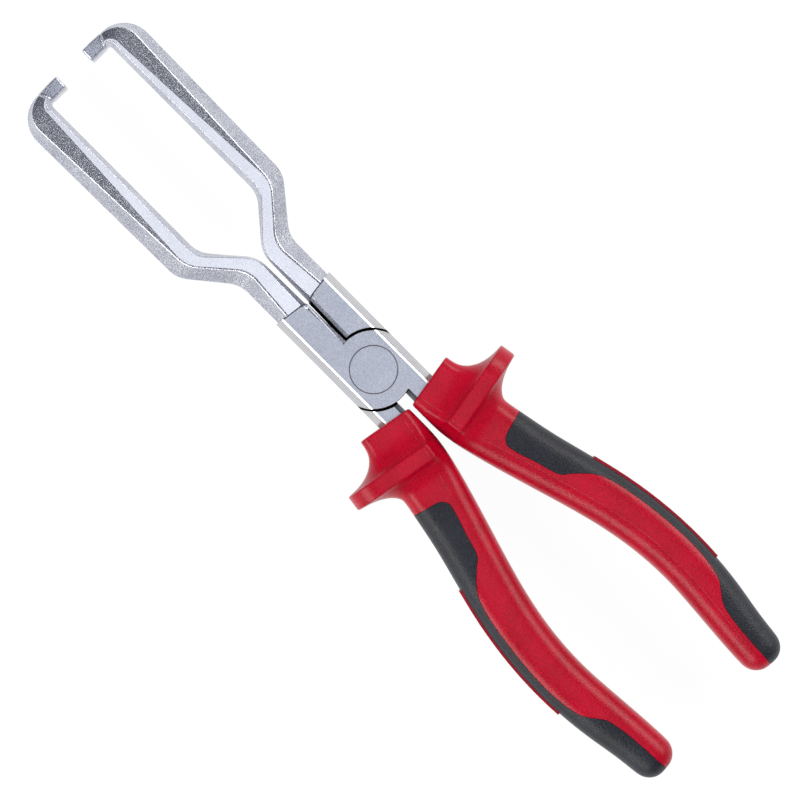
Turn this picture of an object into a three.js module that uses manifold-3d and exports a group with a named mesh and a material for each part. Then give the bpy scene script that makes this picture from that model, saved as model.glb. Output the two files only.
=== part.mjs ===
// Fuel line release pliers. Two equal forged halves cross at a riveted lap joint. Each has a dog-legged jaw
// arm with an inward tip, a lap plate at the joint, and a tang inside a two-part plastic handle.
//
// Millimetres. The origin is the centre of the rivet's lower end face. +X runs to the jaw tips, +Z up
// through the rivet, and the jaws open along Y. One half is drawn about the middle plane of the joint, as
// the upper half with its jaw on +Y and its handle on -Y. The lower half is the same, turned over about X.
import * as THREE from "three";
import { mergeVertices } from "three/addons/utils/BufferGeometryUtils.js";
import Module from "manifold-3d";

const wasm = await Module();
wasm.setup();

// Overall reach, from the pivot axis.
const JAW_REACH = 107.9;
const HANDLE_REACH = 122.1;

// Clearances.
const FIT = 0.3; // between pieces that are fixed to each other
const LAP_GAP = 0.3; // between the two lap plates
const SHOULDER_GAP = 0.55; // between a lap plate's round edge and the other half's shoulder
const PAST = 1; // how far a joined solid runs into, and a cutter past, what it meets

// Lap joint.
const JOINT_WIDTH = 18.6;
const JOINT_THICKNESS = 10;
const JOINT_BEVEL = 2.2; // how far the long sides lean in up to the flats
const JOINT_BEVEL_DEPTH = 3.4;
const PLATE_RADIUS = 9.9;
const SHOULDER_X = 24.2; // pivot to the step down to the neck
const SLOT_HALF_BACK = 0.1; // the slot between the jaws, from its middle, at the pivot
const SLOT_HALF_FRONT = 0.45; // and at the step
const SLOT_BEVEL = 0.8;
const TANG_SIDE = 1.6; // middle plane of the tool to the tang's inner side
const TANG_BEVEL = 1.3;
const TANG_BLOCK_END = 13.4;

// Rivet.
const RIVET_SHANK = 4;
const RIVET_HEAD = 5.9;
const RIVET_RIM = 0.8; // height of the head's straight rim
const ROUND_STEPS = 48;

// Jaw arm: thickness, spread and the dog-leg that joins neck and arm.
const ARM_THICKNESS = 8.4;
const ARM_EDGE = 1; // half height of the upright band at the forging's parting line
const ARM_INNER = 10.45; // middle plane of the tool to the arm's inner side
const ARM_WIDTH = 8.3; // just past the dog-leg
const ARM_FLARE = 0.75; // how much wider the arm is at its end
const NECK_INNER = 0.7;
const NECK_WIDTH = 8;
const DOGLEG_INNER = [40.4, 51.7]; // where the inner side's two bends are
const DOGLEG_OUTER = [38.7, 51.0];
const BEND_RADIUS = 8;
const BEND_STEPS = 4;
const TIP_WIDTH = 4.1; // along X
const TIP_THICKNESS = 6.6;
const TIP_CHAMFER = 0.5;
const MOUTH = 9; // between the two tips
const CORNER_RADIUS = 8;
const CORNER_STEPS = 6;
const INSIDE_CORNER = 0.8;
const ARM_BEVELS = [
  [1.2, 2.5],
  [0.6, 3.6],
  [1.3, 3.6],
  [1.1, 2.6],
]; // inner and outer bevel at the neck's start, at each bend and at the end corner

// Handle. Each row is one station, at equal steps from the front face to the end: distance of the centre
// line from the tool's middle plane, half width, half height, corner radius.
const HANDLE_FRONT = 11.65;
const FRONT_LEAN = 10; // degrees that the front face and the guard lean back
const HANDLE_STATIONS = [
  [7.85, 7.4, 7.6, 2.4],
  [8.6, 7.85, 7.4, 3.2],
  [10.9, 7.75, 6.9, 4.6],
  [13.6, 7.25, 6.9, 5],
  [16.7, 7.05, 7, 5],
  [19.4, 6.85, 7.2, 5],
  [21.05, 6.65, 7.3, 5],
  [21.5, 6.5, 7.3, 5],
  [20.75, 6.4, 7, 5],
  [19.4, 5.9, 6.6, 5],
  [18.6, 5.6, 6.4, 4.8],
];
const END_RADIUS = 4.6;
const ROUNDING_STEPS = 3;
const BODY_STEP = 8.5; // between the rings of the handle's body
const SMALLEST_RADIUS = 0.5;
const FULLEST_CORNER = 0.95; // the most of a section's half size that a corner takes

// Finger guard, a flange round the handle that flares out of it.
const GUARD_FRONT = 9.7; // front face of the handle to the flange
const GUARD_THICKNESS = 4.2;
const GUARD_OUT = 18.9; // centre line to the flange's outer edge
const GUARD_IN = 7.9;
const GUARD_HALF_HEIGHT = 10.8;
const GUARD_OUT_CORNER = 8;
const GUARD_IN_CORNER = 3;
const GUARD_EDGE = 0.8;
const FLARE_FRONT = 8;
const FLARE_BACK = 5;
const FLARE_STEPS = 5;

// Soft inlay along the handle's back, seen from above: millimetres behind the handle's front face and out
// from its centre line, for the edge that it shares with the hard shell. The last row runs to the end.
const INLAY_THICKNESS = 2.2;
const INLAY_FRONT = 22.8;
const INLAY_EDGE = [
  [23.1, 1.6],
  [23.4, 0.25],
  [24.6, -1.25],
  [26.4, -1.6],
  [33, -1.2],
  [39.4, -0.9],
  [41.4, 0.5],
  [46.2, 3.3],
  [49.4, 4.1],
  [64, 4.15],
  [78.3, 4],
  [83.2, 3.5],
  [85.6, 2.95],
  [90.3, 0.25],
  [92.2, -0.3],
];
const INLAY_EDGE_STEPS = 2;

// Plain raised strip of the hard shell that stands through the inlay, behind the front face.
const STRIP_START = 44.4;
const STRIP_END = 81.4;
const STRIP_HALF_HEIGHT = 3.2;
const STRIP_PROUD = 0.35;
const STRIP_STEPS = 6;

// Tang inside the handle, behind the front face.
const TANG_START = 1.1;
const TANG_MIDDLE = 27.6;
const TANG_END = 83.9;
const TANG_STEPS = 9;
const TANG_FRONT_HALF = [3.3, 3.6]; // half width and half height
const TANG_MIDDLE_HALF = [2.8, 2.6];
const TANG_END_HALF = [2.2, 2];
const TANG_CORNER = 1;
const TANG_SHIFT = 2.4; // towards the tool's middle plane at the front

const steel = { color: 0xb9bcc4, roughness: 0.34, metalness: 1 };
const rivetSteel = { color: 0xa9adb6, roughness: 0.4, metalness: 1 };
const hardPlastic = { color: 0xba0526, roughness: 0.45, metalness: 0 };
const softPlastic = { color: 0x2c3036, roughness: 0.7, metalness: 0 };

const halfJoint = JOINT_THICKNESS / 2;
const lerp = THREE.MathUtils.lerp;

// A closed geometry as a solid that can be joined and cut.
function solidOf(geometry) {
  geometry.deleteAttribute("normal");
  geometry.deleteAttribute("uv");
  const merged = mergeVertices(geometry);
  return new wasm.Manifold(
    new wasm.Mesh({
      numProp: 3,
      vertProperties: Float32Array.from(merged.attributes.position.array),
      triVerts: Uint32Array.from(merged.index.array),
    }),
  );
}

// A named mesh from a solid.
function meshOf(name, solid, finish) {
  const { vertProperties, triVerts } = solid.getMesh();
  const geometry = new THREE.BufferGeometry();
  geometry.setAttribute("position", new THREE.BufferAttribute(vertProperties, 3));
  geometry.setIndex(new THREE.BufferAttribute(triVerts, 1));
  geometry.computeVertexNormals();
  const mesh = new THREE.Mesh(geometry, new THREE.MeshStandardMaterial(finish));
  mesh.name = name;
  return mesh;
}

// A closed skin over rings of equal length. Each ring runs anticlockwise as seen from the end of the row.
function loft(rings) {
  const size = rings[0].length;
  const index = [];
  for (let i = 0; i + 1 < rings.length; i++) {
    for (let j = 0; j < size; j++) {
      const [a, b] = [i * size + j, i * size + ((j + 1) % size)];
      index.push(a, b, b + size, a, b + size, a + size);
    }
  }
  const last = (rings.length - 1) * size;
  for (let j = 1; j + 1 < size; j++) {
    index.push(0, j + 1, j, last, last + j, last + j + 1);
  }
  const geometry = new THREE.BufferGeometry().setFromPoints(rings.flat());
  geometry.setIndex(index);
  return solidOf(geometry);
}

// An outline seen from above, as a solid between two heights.
function prism(points, low, high) {
  const geometry = new THREE.ExtrudeGeometry(new THREE.Shape(points), {
    depth: high - low,
    bevelEnabled: false,
  });
  return solidOf(geometry.translate(0, 0, low));
}

function cylinder(radius, low, high) {
  const geometry = new THREE.CylinderGeometry(radius, radius, high - low, ROUND_STEPS);
  return solidOf(geometry.rotateX(Math.PI / 2).translate(0, 0, (low + high) / 2));
}

// A section of [out, up] pairs, stood at a point, facing the way that out and up give.
function ringAt(point, out, section) {
  return section.map(([a, b]) => point.clone().addScaledVector(out, a).add(new THREE.Vector3(0, 0, b)));
}

// Forged section: upright at the parting line, with an inner and an outer bevel up to flats.
function forgedSection(inner, outer, halfHeight, edge, innerBevel, outerBevel) {
  return [
    [inner, -edge],
    [inner + innerBevel, -halfHeight],
    [outer - outerBevel, -halfHeight],
    [outer, -edge],
    [outer, edge],
    [outer - outerBevel, halfHeight],
    [inner + innerBevel, halfHeight],
    [inner, edge],
  ];
}

function roundedSection(inner, outer, halfHeight, innerCorner, outerCorner) {
  const section = [];
  const corners = [
    [outer, -1, outerCorner],
    [outer, 1, outerCorner],
    [inner, 1, innerCorner],
    [inner, -1, innerCorner],
  ];
  corners.forEach(([side, up, corner], quarter) => {
    const half = Math.min(halfHeight, (outer - inner) / 2);
    const radius = Math.min(corner, FULLEST_CORNER * half);
    const centre = [side === outer ? outer - radius : inner + radius, up * (halfHeight - radius)];
    for (let i = 0; i <= ROUNDING_STEPS; i++) {
      const angle = (quarter - 1 + i / ROUNDING_STEPS) * (Math.PI / 2);
      section.push([centre[0] + radius * Math.cos(angle), centre[1] + radius * Math.sin(angle)]);
    }
  });
  return section;
}

// --- Joint ---

// The joint's bar: both halves' outer sides and flats lie on it.
function jointSection(inner, bevel) {
  const side = JOINT_WIDTH / 2;
  return forgedSection(inner, side, halfJoint, halfJoint - JOINT_BEVEL_DEPTH, bevel, JOINT_BEVEL);
}

function jointBar() {
  const section = jointSection(-JOINT_WIDTH / 2, JOINT_BEVEL);
  const out = new THREE.Vector3(0, 1, 0);
  const ends = [-PLATE_RADIUS - PAST, PLATE_RADIUS + PAST];
  return loft(ends.map((x) => ringAt(new THREE.Vector3(x, 0, 0), out, section)));
}

// Full-thickness block between the lap plate and the neck.
function frontBlock() {
  const out = new THREE.Vector3(0, 1, 0);
  return loft([
    ringAt(new THREE.Vector3(0, 0, 0), out, jointSection(SLOT_HALF_BACK, SLOT_BEVEL)),
    ringAt(new THREE.Vector3(SHOULDER_X, 0, 0), out, jointSection(SLOT_HALF_FRONT, SLOT_BEVEL)),
  ]);
}

// Full-thickness start of the tang, grown on all sides for the pocket that it sits in.
function tangBlock(grow) {
  const out = new THREE.Vector3(0, -1, 0);
  const edge = halfJoint - JOINT_BEVEL_DEPTH;
  const section = forgedSection(
    TANG_SIDE - grow,
    JOINT_WIDTH / 2 + grow,
    halfJoint + grow,
    edge + grow,
    TANG_BEVEL,
    JOINT_BEVEL,
  );
  const ends = [0, -TANG_BLOCK_END - grow];
  return loft(ends.map((x) => ringAt(new THREE.Vector3(x, 0, 0), out, section)));
}

// Rivet outline from its middle to one end face, grown for the hole that it sits in.
function rivetOutline(grow) {
  const top = halfJoint + (grow > 0 ? PAST : 0);
  const rim = halfJoint - RIVET_RIM - grow;
  const cone = RIVET_HEAD - RIVET_SHANK;
  return [
    [RIVET_SHANK + grow, rim - cone],
    [RIVET_HEAD + grow, rim],
    [RIVET_HEAD + grow, top],
    [0, top],
  ];
}

function rivet(grow) {
  const upper = rivetOutline(grow);
  const lower = upper.map(([r, z]) => [r, -z]).reverse();
  const points = [...lower, ...upper].map(([r, z]) => new THREE.Vector2(r, z));
  return solidOf(new THREE.LatheGeometry(points, ROUND_STEPS).rotateX(Math.PI / 2));
}

// --- Jaw arm ---

// Points along a line of [x, y, radius] corners, each corner rounded in the given number of steps.
function roundedLine(corners, steps) {
  const at = ([x, y]) => new THREE.Vector3(x, y, 0);
  const points = [at(corners[0])];
  for (let i = 1; i + 1 < corners.length; i++) {
    const corner = at(corners[i]);
    const back = at(corners[i - 1]).sub(corner).normalize();
    const ahead = at(corners[i + 1]).sub(corner).normalize();
    const half = back.angleTo(ahead) / 2;
    const radius = corners[i][2];
    const toCentre = back.clone().add(ahead).normalize();
    const centre = corner.clone().addScaledVector(toCentre, radius / Math.sin(half));
    const start = corner.clone().addScaledVector(back, radius / Math.tan(half)).sub(centre);
    const end = corner.clone().addScaledVector(ahead, radius / Math.tan(half)).sub(centre);
    const turn = Math.sign(start.x * end.y - start.y * end.x) * start.angleTo(end);
    for (let j = 0; j <= steps[i]; j++) {
      const spoke = start.clone().applyAxisAngle(new THREE.Vector3(0, 0, 1), (turn * j) / steps[i]);
      points.push(centre.clone().add(spoke));
    }
  }
  points.push(at(corners[corners.length - 1]));
  return points;
}

const tipBack = JAW_REACH - TIP_WIDTH;
const tipRoot = ARM_INNER + INSIDE_CORNER;
const sideSteps = [0, BEND_STEPS, BEND_STEPS, CORNER_STEPS];

// The arm's two sides, from inside the joint block to the root of the tip.
function armSides() {
  const start = SHOULDER_X - PAST;
  const neckOuter = NECK_INNER + NECK_WIDTH;
  const armOuter = ARM_INNER + ARM_WIDTH;
  const inner = [
    [start, SLOT_HALF_FRONT],
    [DOGLEG_INNER[0], NECK_INNER, BEND_RADIUS],
    [DOGLEG_INNER[1], ARM_INNER, BEND_RADIUS],
    [tipBack, ARM_INNER, INSIDE_CORNER],
    [tipBack, 0],
  ];
  const outer = [
    [start, neckOuter],
    [DOGLEG_OUTER[0], neckOuter, BEND_RADIUS],
    [DOGLEG_OUTER[1], armOuter, BEND_RADIUS],
    [JAW_REACH, armOuter + ARM_FLARE, CORNER_RADIUS],
    [JAW_REACH, 0],
  ];
  return [inner, outer].map((corners) => roundedLine(corners, sideSteps).slice(0, -1));
}

function arm() {
  const [inner, outer] = armSides();
  const bevels = sideSteps.flatMap((steps, corner) => Array(steps + 1).fill(ARM_BEVELS[corner]));
  const rings = inner.map((point, i) => {
    const out = outer[i].clone().sub(point);
    const section = forgedSection(0, out.length(), ARM_THICKNESS / 2, ARM_EDGE, ...bevels[i]);
    return ringAt(point, out.normalize(), section);
  });
  return loft(rings);
}

// Short tip that points back across the mouth.
function tip() {
  const out = new THREE.Vector3(1, 0, 0);
  const section = (inset) => {
    const half = TIP_THICKNESS / 2 - inset;
    return [
      [inset, -half],
      [TIP_WIDTH - inset, -half],
      [TIP_WIDTH - inset, half],
      [inset, half],
    ];
  };
  const face = MOUTH / 2;
  return loft([
    ringAt(new THREE.Vector3(tipBack, tipRoot + PAST, 0), out, section(0)),
    ringAt(new THREE.Vector3(tipBack, face + TIP_CHAMFER, 0), out, section(0)),
    ringAt(new THREE.Vector3(tipBack, face, 0), out, section(TIP_CHAMFER)),
  ]);
}

// --- Handle ---

const handleLength = HANDLE_REACH - HANDLE_FRONT;
const lastStation = HANDLE_STATIONS.length - 1;
const guardBack = GUARD_FRONT + GUARD_THICKNESS;
const waist = guardBack + FLARE_BACK; // where the plain body starts
const centreLine = new THREE.CatmullRomCurve3(
  HANDLE_STATIONS.map(
    ([out], i) => new THREE.Vector3(-HANDLE_FRONT - (handleLength * i) / lastStation, -out, 0),
  ),
);
const girth = new THREE.CatmullRomCurve3(
  HANDLE_STATIONS.map(([, width, height, corner]) => new THREE.Vector3(width, height, corner)),
);

// Half width, half height and corner radius at a distance behind the handle's front face.
function girthAt(along) {
  return girth.getPoint(THREE.MathUtils.clamp(along / handleLength, 0, 1));
}

// The centre line's point and outward direction there. Past an end it runs on straight.
function handleAt(along) {
  const inside = THREE.MathUtils.clamp(along, 0, handleLength);
  const point = centreLine.getPoint(inside / handleLength);
  const ahead = centreLine.getTangent(inside / handleLength);
  point.addScaledVector(ahead, along - inside);
  return { point, out: new THREE.Vector3(-ahead.y, ahead.x, 0) };
}

function handleRing(along, section) {
  const { point, out } = handleAt(along);
  return ringAt(point, out, section);
}

// Rings of the handle's body from a start to its rounded far end, inset all round.
function bodyRings(inset, start) {
  const rings = [];
  const addRing = (along, less) => {
    const size = girthAt(along);
    const half = size.x - inset - less;
    const corner = Math.max(size.z - inset - less, SMALLEST_RADIUS);
    rings.push(handleRing(along, roundedSection(-half, half, size.y - inset - less, corner, corner)));
  };
  const rounding = Math.max(END_RADIUS - inset, SMALLEST_RADIUS);
  const last = handleLength - rounding - inset;
  const count = Math.ceil((last - start) / BODY_STEP);
  for (let i = 0; i <= count; i++) {
    addRing(lerp(start, last, i / count), 0);
  }
  for (let i = 1; i <= ROUNDING_STEPS; i++) {
    const angle = ((i / ROUNDING_STEPS) * Math.PI) / 2;
    addRing(last + rounding * Math.sin(angle), rounding * (1 - Math.cos(angle)));
  }
  return rings;
}

// Rings of the handle's front and its guard: they grow from the body to the flange as a quarter ellipse,
// and shrink again behind it. The rise is 0 on the body and 1 on the flange.
function guardRings() {
  const rings = [];
  const lean = THREE.MathUtils.degToRad(FRONT_LEAN);
  const out = new THREE.Vector3(Math.sin(lean), -Math.cos(lean), 0);
  const addRing = (along, rise, edge) => {
    const size = girthAt(along);
    const section = roundedSection(
      lerp(-size.x, -GUARD_IN, rise) + edge,
      lerp(size.x, GUARD_OUT, rise) - edge,
      lerp(size.y, GUARD_HALF_HEIGHT, rise) - edge,
      lerp(size.z, GUARD_IN_CORNER, rise),
      lerp(size.z, GUARD_OUT_CORNER, rise),
    );
    rings.push(ringAt(handleAt(along).point, out, section));
  };
  addRing(0, 0, GUARD_EDGE);
  addRing(GUARD_EDGE, 0, 0);
  for (let i = 0; i < FLARE_STEPS; i++) {
    const angle = ((i / FLARE_STEPS) * Math.PI) / 2;
    addRing(GUARD_FRONT - FLARE_FRONT * (1 - Math.sin(angle)), 1 - Math.cos(angle), 0);
  }
  addRing(GUARD_FRONT, 1, GUARD_EDGE);
  addRing(GUARD_FRONT + GUARD_EDGE, 1, 0);
  addRing(guardBack - GUARD_EDGE, 1, 0);
  addRing(guardBack, 1, GUARD_EDGE);
  for (let i = FLARE_STEPS - 1; i > 0; i--) {
    const angle = ((i / FLARE_STEPS) * Math.PI) / 2;
    addRing(guardBack + FLARE_BACK * (1 - Math.sin(angle)), 1 - Math.cos(angle), 0);
  }
  return rings;
}

// The inlay's region seen from above, its shared edge moved in by a clearance, through the whole height.
function inlayRegion(clearance) {
  const pastEnd = handleLength + PAST;
  const pastSide = GUARD_OUT + PAST;
  const [, endOut] = INLAY_EDGE[INLAY_EDGE.length - 1];
  const rows = [...INLAY_EDGE, [pastEnd, endOut]];
  const edge = new THREE.CatmullRomCurve3(rows.map((row) => new THREE.Vector3(...row, 0)));
  const steps = (rows.length - 1) * INLAY_EDGE_STEPS;
  const outline = [];
  for (let i = 0; i <= steps; i++) {
    const ahead = edge.getTangent(i / steps);
    const aside = new THREE.Vector3(-ahead.y, ahead.x, 0);
    outline.push(edge.getPoint(i / steps).addScaledVector(aside, clearance));
  }
  outline.push(new THREE.Vector3(pastEnd, pastSide, 0));
  outline.push(new THREE.Vector3(INLAY_FRONT + clearance, pastSide, 0));
  const points = outline.map(({ x: along, y: aside }) => {
    const { point, out } = handleAt(along);
    return new THREE.Vector2(point.x + out.x * aside, point.y + out.y * aside);
  });
  return prism(points.reverse(), -GUARD_HALF_HEIGHT, GUARD_HALF_HEIGHT);
}

// Block under the raised strip, from the centre line out, grown for the slot in the inlay.
function stripBlock(grow) {
  const up = STRIP_HALF_HEIGHT + grow;
  const rings = [];
  for (let i = 0; i <= STRIP_STEPS; i++) {
    const along = lerp(STRIP_START - grow, STRIP_END + grow, i / STRIP_STEPS);
    const outer = girthAt(along).x + STRIP_PROUD + grow;
    const section = [
      [0, -up],
      [outer, -up],
      [outer, up],
      [0, up],
    ];
    rings.push(handleRing(along, section));
  }
  return loft(rings);
}

// The tang behind the joint block, grown on all sides for its pocket.
function tang(grow) {
  const rings = [];
  for (let i = 0; i <= TANG_STEPS; i++) {
    const along = lerp(TANG_START - grow, TANG_END + grow, i / TANG_STEPS);
    const front = Math.max(1 - along / TANG_MIDDLE, 0);
    const back = Math.max((along - TANG_MIDDLE) / (TANG_END - TANG_MIDDLE), 0);
    const [width, height] = TANG_MIDDLE_HALF.map(
      (half, side) => lerp(lerp(half, TANG_FRONT_HALF[side], front), TANG_END_HALF[side], back) + grow,
    );
    const middle = -TANG_SHIFT * front;
    const section = roundedSection(middle - width, middle + width, height, TANG_CORNER, TANG_CORNER);
    rings.push(handleRing(along, section));
  }
  return loft(rings);
}

// --- The four pieces of one side ---

function jawHalf() {
  const shoulder = cylinder(PLATE_RADIUS + SHOULDER_GAP, -JOINT_THICKNESS, LAP_GAP / 2);
  const plate = cylinder(PLATE_RADIUS, LAP_GAP / 2, JOINT_THICKNESS).intersect(jointBar());
  return frontBlock()
    .add(tangBlock(0))
    .subtract(shoulder)
    .add(plate)
    .add(arm())
    .add(tip())
    .add(tang(0))
    .subtract(rivet(FIT));
}

function handleShell() {
  return loft([...guardRings(), ...bodyRings(0, waist)])
    .subtract(inlayRegion(0))
    .add(loft(bodyRings(INLAY_THICKNESS + FIT, waist)))
    .add(stripBlock(0))
    .subtract(tangBlock(FIT))
    .subtract(tang(FIT));
}

function gripInlay() {
  return loft(bodyRings(0, waist))
    .intersect(inlayRegion(FIT))
    .subtract(loft(bodyRings(INLAY_THICKNESS, waist)))
    .subtract(stripBlock(FIT));
}

// --- Assembly ---

const upper = new THREE.Group();
upper.add(meshOf("jaw_half_upper", jawHalf(), steel));
upper.add(meshOf("handle_shell_upper", handleShell(), hardPlastic));
upper.add(meshOf("grip_inlay_upper", gripInlay(), softPlastic));
upper.add(meshOf("pivot_rivet", rivet(0), rivetSteel));

const lower = new THREE.Group();
lower.add(meshOf("jaw_half_lower", jawHalf(), steel));
lower.add(meshOf("handle_shell_lower", handleShell(), hardPlastic));
lower.add(meshOf("grip_inlay_lower", gripInlay(), softPlastic));
lower.rotation.x = Math.PI;

const pliers = new THREE.Group();
pliers.add(upper, lower);
pliers.position.z = halfJoint;

export default pliers;
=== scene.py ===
import math

import bmesh
import bpy
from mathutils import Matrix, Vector


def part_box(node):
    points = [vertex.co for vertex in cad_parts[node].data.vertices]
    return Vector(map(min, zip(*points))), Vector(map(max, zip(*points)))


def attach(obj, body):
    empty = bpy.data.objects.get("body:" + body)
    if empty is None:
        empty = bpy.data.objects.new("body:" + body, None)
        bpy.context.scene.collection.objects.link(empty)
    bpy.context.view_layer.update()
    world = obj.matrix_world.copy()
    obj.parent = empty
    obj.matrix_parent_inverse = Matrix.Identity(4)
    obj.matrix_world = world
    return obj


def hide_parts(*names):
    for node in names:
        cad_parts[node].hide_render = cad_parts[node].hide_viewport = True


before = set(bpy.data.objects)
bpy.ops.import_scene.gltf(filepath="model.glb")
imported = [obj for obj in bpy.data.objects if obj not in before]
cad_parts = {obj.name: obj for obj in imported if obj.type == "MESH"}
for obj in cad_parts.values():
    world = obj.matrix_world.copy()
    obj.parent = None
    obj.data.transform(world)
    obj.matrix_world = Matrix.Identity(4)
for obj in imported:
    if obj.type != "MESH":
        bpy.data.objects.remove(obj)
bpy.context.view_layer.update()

# --- The set ---
# A pale table under the pliers, a camera that looks straight down on them, and three soft boxes: a broad one
# overhead and a long one on each side of the tool. The air round them is a plain grey that darkens upwards.
MM = 0.001
VIEW_CENTRE = (-10.0, 0.67)  # from the pivot, mm
VIEW_TURN = 225.13  # degrees that the jaws point up and to the left
VIEW_SIDE = 200.2  # mm of the joint's plane that the picture takes in
CAMERA_HEIGHT = 0.9
SENSOR = 36.0
TABLE_SIDE = 8.0
TABLE_GLOW = 0.92  # share of the table that shows as plain white, the rest takes the shadow


def linear(code):
    """An sRGB hex colour as linear red, green, blue and alpha."""
    shares = [int(code[i : i + 2], 16) / 255 for i in (1, 3, 5)]
    return [s / 12.92 if s <= 0.04045 else ((s + 0.055) / 1.055) ** 2.4 for s in shares] + [1.0]


def add_node(tree, kind, settings=(), links=()):
    """Adds a node, sets its fields and sockets, and links its inputs to other nodes' outputs."""
    node = tree.nodes.new(kind)
    for key, value in dict(settings).items():
        if isinstance(key, str) and hasattr(node, key):
            setattr(node, key, value)
        else:
            node.inputs[key].default_value = value
    for key, source in dict(links).items():
        tree.links.new(source, node.inputs[key])
    return node


def colour_stops(ramp, stops):
    """Sets a colour ramp to these places and colours."""
    elements = ramp.color_ramp.elements
    while len(elements) > len(stops):
        elements.remove(elements[-1])
    while len(elements) < len(stops):
        elements.new(1.0)
    for element, (place, colour) in zip(elements, stops):
        element.position = place
        element.color = colour


rivet_low, rivet_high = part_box("pivot_rivet")
middle = (rivet_low.z + rivet_high.z) / 2
table_height = min(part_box("handle_shell_upper")[0].z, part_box("handle_shell_lower")[0].z)

bpy.ops.object.select_all(action="DESELECT")
bpy.ops.object.camera_add(
    location=(VIEW_CENTRE[0] * MM, VIEW_CENTRE[1] * MM, middle + CAMERA_HEIGHT),
    rotation=(0, 0, math.radians(VIEW_TURN)),
)
camera = bpy.context.object
camera.data.sensor_width = SENSOR
camera.data.lens = SENSOR * CAMERA_HEIGHT / (VIEW_SIDE * MM)
camera.data.clip_start = 0.01
bpy.context.scene.camera = camera
bpy.context.scene.view_settings.view_transform = "Standard"

bpy.ops.mesh.primitive_plane_add(size=TABLE_SIDE, location=(0, 0, table_height))
table = bpy.context.object
table.name = "table"
bpy.ops.object.transform_apply()

# Pale matt board. Seen straight, in gloss or through glass it is white, and part of it still takes the shadow.
board = bpy.data.materials.new("pale_matt_board")
board.use_nodes = True
tree = board.node_tree
tree.nodes.clear()
path = add_node(tree, "ShaderNodeLightPath")
seen = add_node(
    tree,
    "ShaderNodeMath",
    {"operation": "MAXIMUM"},
    {0: path.outputs["Is Camera Ray"], 1: path.outputs["Is Glossy Ray"]},
)
seen = add_node(
    tree, "ShaderNodeMath", {"operation": "MAXIMUM"}, {0: seen.outputs[0], 1: path.outputs["Is Transmission Ray"]}
)
share = add_node(tree, "ShaderNodeMath", {"operation": "MULTIPLY", 1: TABLE_GLOW}, {0: seen.outputs[0]})
matt = add_node(tree, "ShaderNodeBsdfDiffuse", {"Color": linear("#E9E9EA")})
white = add_node(tree, "ShaderNodeEmission", {"Color": linear("#FFFFFF"), "Strength": 1.05})
both = add_node(tree, "ShaderNodeMixShader", {}, {0: share.outputs[0], 1: matt.outputs[0], 2: white.outputs[0]})
add_node(tree, "ShaderNodeOutputMaterial", {}, {"Surface": both.outputs[0]})
table.data.materials.append(board)

world = bpy.data.worlds.new("studio_air")
bpy.context.scene.world = world
world.use_nodes = True
tree = world.node_tree
tree.nodes.clear()
direction = add_node(tree, "ShaderNodeTexCoord")
height = add_node(tree, "ShaderNodeSeparateXYZ", {}, {0: direction.outputs["Generated"]})
air = add_node(tree, "ShaderNodeValToRGB", {}, {0: height.outputs["Z"]})
colour_stops(
    air,
    [
        (0.0, linear("#D8D7D7")),
        (0.45, linear("#CFCFD1")),
        (0.72, linear("#7C7E85")),
        (0.9, linear("#454952")),
        (1.0, linear("#3A3D45")),
    ],
)
across = add_node(tree, "ShaderNodeMath", {"operation": "POWER", 1: 2.0}, {0: height.outputs["X"]})
ends = add_node(tree, "ShaderNodeMapRange", {"To Min": 1.0, "To Max": 0.2}, {"Value": across.outputs[0]})
dimmed = add_node(
    tree, "ShaderNodeVectorMath", {"operation": "SCALE"}, {0: air.outputs["Color"], "Scale": ends.outputs[0]}
)
glow = add_node(tree, "ShaderNodeBackground", {"Strength": 1.0}, {"Color": dimmed.outputs[0]})
add_node(tree, "ShaderNodeOutputWorld", {}, {"Surface": glow.outputs[0]})


def soft_box(name, place, size, turn, colour, radiance):
    """A rectangular lamp at a place, with its tilt, its size and how bright its face is (1 is white)."""
    bpy.ops.object.light_add(type="AREA", location=place, rotation=turn)
    lamp = bpy.context.object
    lamp.name = name
    lamp.data.shape = "RECTANGLE"
    lamp.data.size, lamp.data.size_y = size
    lamp.data.color = linear(colour)[:3]
    lamp.data.energy = radiance * math.pi * size[0] * size[1]


soft_box("soft_box_overhead", (-0.03, 0, 1.3), (0.82, 0.5), (0, 0, 0), "#F5F8FF", 1.5)
SIDE_BOX_TILT = math.radians(54)
for name, side in (("soft_box_left", -1), ("soft_box_right", 1)):
    soft_box(name, (-0.02, side * 0.72, 0.52), (1.0, 0.36), (-side * SIDE_BOX_TILT, 0, 0), "#FFF9F4", 5.4)

# --- Jaw halves ---
# Two equal drop forgings of tool steel, blasted, then bright plated all over. Each has a dog-legged arm with an
# inward tip, a block and half-thickness plate at the joint, and a tang for the handle. The joint's flats are
# ground before plating. The lower half is the upper one turned over. Sizes are in millimetres.
REACH = 107.85  # from the pivot to the jaw's end
JOINT_SIDE = 9.3  # half the joint's width
JOINT_HALF = 5.0  # and half its thickness
FLAT_SIDE = 7.1  # half the ground flat's width
SIDE_FOOT = 1.6  # height up to which the sides are upright
SIDE_ROUND = 2.3  # radius of the sides below the flat
SIDE_START = 21.0  # degrees that the round tilts where the flat cuts it
SIDE_END = 40.0  # and where it ends
SIDE_STEPS = 4
PLATE_RADIUS = 9.9
PLATE_GAP = 0.3  # between the two plates
SHOULDER_GAP = 0.55  # between the plate's edge and the other half's shoulder
SHOULDER = 24.5  # from the pivot to the step down to the neck
SHOULDER_SLANT = 0.6
SLOT_BACK = 0.12  # half the slot's width at the pivot
SLOT_FRONT = 0.6  # and at the step
SLOT_LEAN = 0.42  # how far each wall leans, up to the bevel's foot
SLOT_BEVEL = 0.9
SLOT_FOOT = 4.25  # height of the bevel's foot
SLOT_CORNER = 0.8  # round at the slot's front end
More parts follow.
